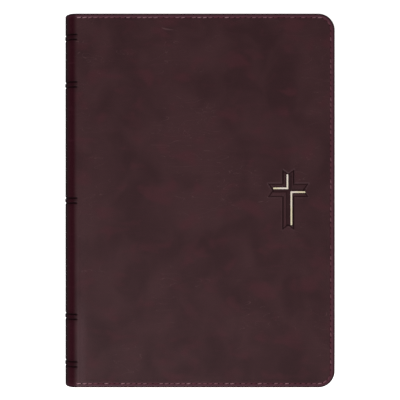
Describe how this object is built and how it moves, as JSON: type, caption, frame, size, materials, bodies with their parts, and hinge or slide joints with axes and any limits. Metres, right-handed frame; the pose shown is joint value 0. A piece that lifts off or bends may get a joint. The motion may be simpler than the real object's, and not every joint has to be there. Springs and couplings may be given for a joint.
{
  "type": "prayer book",
  "caption": "Flexible leather-look book with a rounded ribbed spine, edge stitching, round fore-edge corners and a pressed gold-foil cross; covers and leaves turn.",
  "frame": {"origin": "middle of the underside of the closed book, which lies on its back cover", "axes": "+X from the spine to the fore edge, +Y from the tail to the head, +Z from the back cover to the front cover"},
  "size_m": [0.1568, 0.216, 0.028],
  "materials": {
    "cover_leather": "dark burgundy-brown mottled leather-look sheet, satin, with burnished edges",
    "board": "flexible grey-brown book card",
    "endpaper": "plain cream endpaper, matt",
    "thread": "twisted polyester thread, burgundy",
    "foil": "pale gold stamping foil, bright satin",
    "gauze": "open-weave cotton gauze, sized",
    "lining": "brown kraft paper, glued",
    "end_band": "woven striped band, burgundy and gold",
    "page": "thin uncoated book paper with gilt edges"
  },
  "bodies": {
    "book_block": {"spine_leather": "cover_leather", "spine_liner": "board", "spine_gauze": "gauze", "spine_lining": "lining", "head_band": "end_band", "tail_band": "end_band", "glued_folds": "page", "gathering_09": "page", "gathering_10": "page", "gathering_11": "page", "gathering_12": "page", "gathering_13": "page", "gathering_14": "page", "gathering_15": "page", "gathering_16": "page", "gathering_17": "page", "gathering_18": "page", "gathering_19": "page", "gathering_20": "page"},
    "front_cover": {"front_leather": "cover_leather", "front_board": "board", "front_pastedown": "endpaper", "front_stitching": "thread", "foil_cross": "foil"},
    "back_cover": {"back_leather": "cover_leather", "back_board": "board", "back_pastedown": "endpaper", "back_stitching": "thread"},
    "front_flyleaf": {"front_flyleaf": "endpaper"},
    "back_flyleaf": {"back_flyleaf": "endpaper"},
    "gathering_01": {"gathering_01": "page"},
    "gathering_02": {"gathering_02": "page"},
    "gathering_03": {"gathering_03": "page"},
    "gathering_04": {"gathering_04": "page"},
    "gathering_05": {"gathering_05": "page"},
    "gathering_06": {"gathering_06": "page"},
    "gathering_07": {"gathering_07": "page"},
    "gathering_08": {"gathering_08": "page"}
  },
  "joints": [
    {"name": "front_cover_hinge", "type": "hinge", "parent": "book_block", "child": "front_cover", "pos_m": [-0.071, 0, 0.0283], "axis": [0, -1, 0], "range_deg": [0, 178]},
    {"name": "front_flyleaf_turn", "type": "hinge", "parent": "book_block", "child": "front_flyleaf", "pos_m": [-0.071, 0, 0.0283], "axis": [0, -1, 0], "range_deg": [0, 177]},
    {"name": "gathering_01_turn", "type": "hinge", "parent": "book_block", "child": "gathering_01", "pos_m": [-0.071, 0, 0.0283], "axis": [0, -1, 0], "range_deg": [0, 175.5]},
    {"name": "gathering_02_turn", "type": "hinge", "parent": "book_block", "child": "gathering_02", "pos_m": [-0.071, 0, 0.0283], "axis": [0, -1, 0], "range_deg": [0, 174]},
    {"name": "gathering_03_turn", "type": "hinge", "parent": "book_block", "child": "gathering_03", "pos_m": [-0.071, 0, 0.0283], "axis": [0, -1, 0], "range_deg": [0, 172]},
    {"name": "gathering_04_turn", "type": "hinge", "parent": "book_block", "child": "gathering_04", "pos_m": [-0.071, 0, 0.0283], "axis": [0, -1, 0], "range_deg": [0, 169.5]},
    {"name": "gathering_05_turn", "type": "hinge", "parent": "book_block", "child": "gathering_05", "pos_m": [-0.071, 0, 0.0283], "axis": [0, -1, 0], "range_deg": [0, 166]},
    {"name": "gathering_06_turn", "type": "hinge", "parent": "book_block", "child": "gathering_06", "pos_m": [-0.071, 0, 0.0283], "axis": [0, -1, 0], "range_deg": [0, 161]},
    {"name": "gathering_07_turn", "type": "hinge", "parent": "book_block", "child": "gathering_07", "pos_m": [-0.071, 0, 0.0283], "axis": [0, -1, 0], "range_deg": [0, 153.5]},
    {"name": "gathering_08_turn", "type": "hinge", "parent": "book_block", "child": "gathering_08", "pos_m": [-0.071, 0, 0.0283], "axis": [0, -1, 0], "range_deg": [0, 143]},
    {"name": "back_cover_hinge", "type": "hinge", "parent": "book_block", "child": "back_cover", "pos_m": [-0.071, 0, 0.0015], "axis": [0, 1, 0], "range_deg": [0, 179.5]},
    {"name": "back_flyleaf_turn", "type": "hinge", "parent": "book_block", "child": "back_flyleaf", "pos_m": [-0.071, 0, 0.0015], "axis": [0, 1, 0], "range_deg": [0, 179.5]}
  ],
  "couplings": [
    {"joint": "front_flyleaf_turn", "follows": "front_cover_hinge", "ratio": 0.99438},
    {"joint": "gathering_01_turn", "follows": "front_cover_hinge", "ratio": 0.98595},
    {"joint": "gathering_02_turn", "follows": "front_cover_hinge", "ratio": 0.97752},
    {"joint": "gathering_03_turn", "follows": "front_cover_hinge", "ratio": 0.96629},
    {"joint": "gathering_04_turn", "follows": "front_cover_hinge", "ratio": 0.95224},
    {"joint": "gathering_05_turn", "follows": "front_cover_hinge", "ratio": 0.93258},
    {"joint": "gathering_06_turn", "follows": "front_cover_hinge", "ratio": 0.90449},
    {"joint": "gathering_07_turn", "follows": "front_cover_hinge", "ratio": 0.86235},
    {"joint": "gathering_08_turn", "follows": "front_cover_hinge", "ratio": 0.80337},
    {"joint": "back_flyleaf_turn", "follows": "back_cover_hinge", "ratio": 1}
  ]
}
